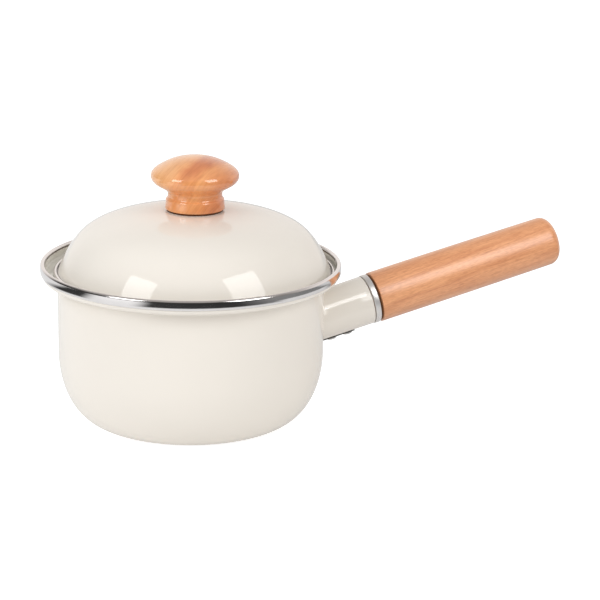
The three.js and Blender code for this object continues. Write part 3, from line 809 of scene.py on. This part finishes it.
# Grip: bored for the rod, with a tenon in the socket, a faint belly and a rounded end
grip_end = GRIP_START + GRIP_LENGTH
belly_start = GRIP_START + GRIP_EDGE
belly_end = grip_end - GRIP_TIP_ROUND
grip_radius = ferrule_radius + GRIP_PROUD
end_radius = grip_radius - GRIP_TAPER
belly_pull = ((grip_radius + end_radius) / 2 + 2 * GRIP_SWELL, (belly_start + belly_end) / 2)
grip_tip = (end_radius - GRIP_TIP_ROUND, belly_end)
grip_outline = [
    (0, ROD_BORE_END), (ROD_BORE, ROD_BORE_END), (ROD_BORE, TENON_START),
    (TENON_RADIUS - TENON_CHAMFER, TENON_START), (TENON_RADIUS, TENON_START + TENON_CHAMFER),
    (TENON_RADIUS, GRIP_START),
    *arc((grip_radius - GRIP_EDGE, belly_start), (GRIP_EDGE, GRIP_EDGE), -90, 0, steps=6),
    *bezier([(grip_radius, belly_start), belly_pull, (end_radius, belly_end)], steps=24)[1:],
    *arc(grip_tip, (GRIP_TIP_ROUND, GRIP_TIP_ROUND), 0, 90, steps=16)[1:],
    (0, grip_end),
]
grip = add_turned("grip", grip_outline, HANDLE_TURN, "pot", "grip_wood", GRIP_WOOD, "handle_grip",
                  HANDLE_PLACE)


def screw_mesh(name, head_radius, head_height, shank_radius, shank_length, rows=24):
    """A pan screw head with a cross recess, facing down, and a plain shank that rises from it."""
    head = [(0, -head_height)]
    for i in range(1, rows + 1):
        angle = math.radians(-90 * (1 - i / rows))
        across = math.cos(angle) ** HEAD_ROUNDNESS
        down = (-math.sin(angle)) ** HEAD_ROUNDNESS
        head.append((head_radius * across, -head_height * down))
    outline = head + [(shank_radius, 0), (shank_radius, shank_length), (0, shank_length)]
    mesh = lathe(name, outline, SMALL_TURN)
    for vertex in mesh.vertices:
        x, y, z = (c / MM for c in vertex.co)
        in_reach = math.hypot(x, y) < RECESS_REACH * head_radius
        in_cross = min(abs(x), abs(y)) < RECESS_HALF_WIDTH * head_radius
        if z < -head_height / 2 + TINY and in_reach and in_cross:
            vertex.co.z += RECESS_DEPTH * head_height * MM
    smooth_by_angle(mesh)
    return mesh


# Clamp screws, from under the plate into the bracket
seat = SOCKET_RADIUS + FIT_GAP + PLATE_THICKNESS + SCREW_SEAT_GAP
bracket_top = math.sqrt(TENON_RADIUS ** 2 - (BRACKET_WIDTH / 2) ** 2) - BRACKET_LEG
for node, place in SCREW_PLACES.items():
    mesh = screw_mesh(node + "_cross", CLAMP_SCREW_HEAD_RADIUS, CLAMP_SCREW_HEAD_HEIGHT, CLAMP_SCREW_RADIUS,
                      seat - bracket_top)
    turned = Matrix.Translation((seat * MM, 0, place * MM)) @ Matrix.Rotation(-math.pi / 2, 4, "Y")
    add_piece(node + "_cross", mesh, "pot", "polished_steel", SCREW_STEEL, node, HANDLE_PLACE @ turned)

# Screw and washer under the lid
screw_high = size("knob_screw")[1]
washer_low, washer_high = size("knob_washer")
mesh = screw_mesh("knob_screw_cross", KNOB_SCREW_HEAD_RADIUS, KNOB_SCREW_HEAD_HEIGHT, KNOB_SCREW_RADIUS,
                  screw_high.z - washer_low.z)
add_piece("knob_screw_cross", mesh, "lid", "plain_steel", PLAIN_STEEL, "knob_screw",
          Matrix.Translation((lid_axis * MM, 0, washer_low.z * MM)))
washer_outline = rounded([
    (screw_hole, washer_low.z, 0), (WASHER_RADIUS, washer_low.z, WASHER_EDGE),
    (WASHER_RADIUS, washer_high.z, WASHER_EDGE), (screw_hole, washer_high.z, 0),
])
add_turned("washer", washer_outline, SMALL_TURN, "lid", "plain_steel", PLAIN_STEEL, "knob_washer", LID_PLACE)

# Finishes on the CAD nodes that stay
KEPT = {"handle_bracket": PLAIN_STEEL, "handle_rod": PLAIN_STEEL, "clamp_plate": DARK_STEEL,
        "knob_insert": BRASS}
for node, material in KEPT.items():
    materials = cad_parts[node].data.materials
    materials.clear()
    materials.append(material)

# Camera at the photograph's angle
azimuth, elevation, aside = (math.radians(v) for v in (VIEW_AZIMUTH, VIEW_ELEVATION, VIEW_ASIDE))
toward = Vector((math.sin(azimuth), -math.cos(azimuth), 0))
right = Vector((math.cos(azimuth), math.sin(azimuth), 0))
back = toward * math.cos(elevation) + Vector((0, 0, math.sin(elevation)))
up = back.cross(right)
eye = Vector((0, 0, VIEW_HEIGHT)) + back * VIEW_DISTANCE
look_right = right * math.cos(aside) + back * math.sin(aside)
look_back = back * math.cos(aside) - right * math.sin(aside)
camera_data = bpy.data.cameras.new("camera")
camera_data.sensor_width = SENSOR
camera_data.lens = FOCAL_PIXELS * SENSOR / FRAME_PIXELS
camera = bpy.data.objects.new("camera", camera_data)
camera.matrix_world = Matrix.Translation(eye) @ Matrix((look_right, up, look_back)).transposed().to_4x4()
bpy.context.scene.collection.objects.link(camera)
bpy.context.scene.camera = camera


def bearing_vector(degrees):
    """A level direction, in degrees to the right of the direction to the camera."""
    turn = math.radians(degrees)
    return toward * math.cos(turn) + right * math.sin(turn)


# Two softboxes, and two strips that light the handle's pieces alone
LIT_ALONE = {"socket_strip": (socket_tube, ferrule), "grip_strip": (grip,)}
aim = Vector((0, 0, LIGHT_AIM_HEIGHT))
for name, (bearing, rise, across, upward, brightness) in SOFT_LIGHTS.items():
    rise = math.radians(rise)
    direction = bearing_vector(bearing) * math.cos(rise) + Vector((0, 0, math.sin(rise)))
    light = bpy.data.lights.new(name, "AREA")
    light.shape = "RECTANGLE"
    light.size = 2 * LIGHT_DISTANCE * math.tan(math.radians(across) / 2)
    light.size_y = 2 * LIGHT_DISTANCE * math.tan(math.radians(upward) / 2)
    light.energy = LIGHT_POWER * light.size * light.size_y * brightness
    lamp = bpy.data.objects.new(name, light)
    facing = direction.to_track_quat("Z", "Y").to_matrix().to_4x4()
    lamp.matrix_world = Matrix.Translation(aim + direction * LIGHT_DISTANCE) @ facing
    lamp.visible_camera = False
    lamp.visible_diffuse = name not in GLOSS_ONLY
    if name in LIT_ALONE:
        lit_pieces = bpy.data.collections.new(name)
        for piece in LIT_ALONE[name]:
            lit_pieces.objects.link(piece)
        lamp.light_linking.receiver_collection = lit_pieces
    bpy.context.scene.collection.objects.link(lamp)

# Floor: pale paper, brighter to the eye, that polished metal sees end in front and at the sides; clear from
# below
corners = [(-FLOOR_REACH, -FLOOR_REACH), (FLOOR_REACH, -FLOOR_REACH), (FLOOR_REACH, FLOOR_REACH),
           (-FLOOR_REACH, FLOOR_REACH)]
floor_mesh = bpy.data.meshes.new("floor")
floor_mesh.from_pydata([(x, y, FLOOR_HEIGHT) for x, y in corners], [], [(0, 1, 2, 3)])
floor = bpy.data.objects.new("floor", floor_mesh)
bpy.context.scene.collection.objects.link(floor)
paper = bpy.data.materials.new("white_paper")
paper.use_nodes = True
floor_mesh.materials.append(paper)
n = Nodes(paper.node_tree)
rays = n.add("ShaderNodeLightPath").outputs
point = n.add("ShaderNodeTexCoord").outputs["Object"]
reach = n.vector("LENGTH", point)
way = n.vector("NORMALIZE", point)
beyond = n.smooth(n.vector("DOT_PRODUCT", way, right), *TO_THE_RIGHT, *PAPER_BEYOND)
near = n.smooth(reach, *PAPER_END, 1.0, beyond)
for bearing, spread, extra in PAPER_LOBES:
    facing = n.vector("DOT_PRODUCT", way, bearing_vector(bearing))
    outer = math.cos(math.radians(spread + LOBE_BLUR))
    inner = math.cos(math.radians(spread - LOBE_BLUR))
    lobe = n.smooth(reach, PAPER_END[0] + extra, PAPER_END[1] + extra, 1.0, 0.0)
    lobe = n.math("MULTIPLY", lobe, n.smooth(facing, outer, inner))
    near = n.math("MAXIMUM", near, lobe)
behind = n.smooth(n.vector("DOT_PRODUCT", point, -toward), *PAPER_BEHIND)
sheet = n.blend(rays["Is Glossy Ray"], 1.0, n.math("MAXIMUM", near, behind))
tone = n.math("MULTIPLY", sheet, PAPER)
grey = n.add("ShaderNodeCombineColor", {0: tone, 1: tone, 2: tone}).outputs[0]
shade = n.add("ShaderNodeBsdfDiffuse", {"Color": grey})
rightward = n.vector("DOT_PRODUCT", point, right)
left_glow = PAPER_GLOW * (1 + PAPER_LEAN)
right_glow = PAPER_GLOW * (1 - PAPER_LEAN)
leaning = n.smooth(rightward, -PAPER_LEAN_REACH, PAPER_LEAN_REACH, left_glow, right_glow)
to_the_eye = n.math("MULTIPLY", rays["Is Camera Ray"], PAPER_EYE_GLOW)
in_every_ray = n.math("MULTIPLY", sheet, leaning)
glow = n.add("ShaderNodeEmission", {"Strength": n.math("ADD", to_the_eye, in_every_ray)})
lit = n.add("ShaderNodeAddShader", {0: shade.outputs[0], 1: glow.outputs[0]})
below = n.add("ShaderNodeNewGeometry").outputs["Backfacing"]
clear = n.add("ShaderNodeBsdfTransparent")
surface = n.add("ShaderNodeMixShader", {0: below, 1: lit.outputs[0], 2: clear.outputs[0]})
n.fill(paper.node_tree.nodes["Material Output"].inputs["Surface"], surface.outputs[0])

# Surroundings: an even light that leans to the left and a white background; polished metal sees a dark room
# in front and a pale wall behind
world = bpy.data.worlds.new("studio")
bpy.context.scene.world = world
world.use_nodes = True
n = Nodes(world.node_tree)
rays = n.add("ShaderNodeLightPath").outputs
direction = n.add("ShaderNodeTexCoord").outputs["Generated"]
height = n.vector("DOT_PRODUCT", direction, (0, 0, 1))
rightward = n.vector("DOT_PRODUCT", direction, right)
lean = n.math("ADD", n.math("MULTIPLY", rightward, -AMBIENT_LEAN), AMBIENT)
even = n.math("MULTIPLY", lean, n.smooth(height, 0.0, 1.0, AMBIENT_HORIZON, AMBIENT_CEILING))
tint = n.mix(n.smooth(rightward, -1.0, 1.0), COOL_LIGHT, WARM_LIGHT)
ambient = n.add("ShaderNodeBackground", {"Color": tint, "Strength": even})
into_room = n.vector("DOT_PRODUCT", direction, bearing_vector(MIRRORED_BEARING))
room = n.smooth(rightward, *TO_THE_RIGHT, *MIRRORED_ROOM)
wall = n.smooth(into_room, *MIRRORED_TURN, MIRRORED_WALL, room)
wall_and_ceiling = n.blend(n.smooth(height, *CEILING_START), wall, MIRRORED_CEILING)
mirrored = n.add("ShaderNodeBackground", {"Color": (*MIRRORED_TONE, 1), "Strength": wall_and_ceiling})
seen = n.add("ShaderNodeBackground", {"Color": (*WHITE, 1)})
lighting = n.add("ShaderNodeMixShader",
                 {0: rays["Is Glossy Ray"], 1: ambient.outputs[0], 2: mirrored.outputs[0]})
every = n.add("ShaderNodeMixShader", {0: rays["Is Camera Ray"], 1: lighting.outputs[0], 2: seen.outputs[0]})
n.fill(world.node_tree.nodes["World Output"].inputs["Surface"], every.outputs[0])

bpy.context.scene.view_settings.view_transform = "Standard"
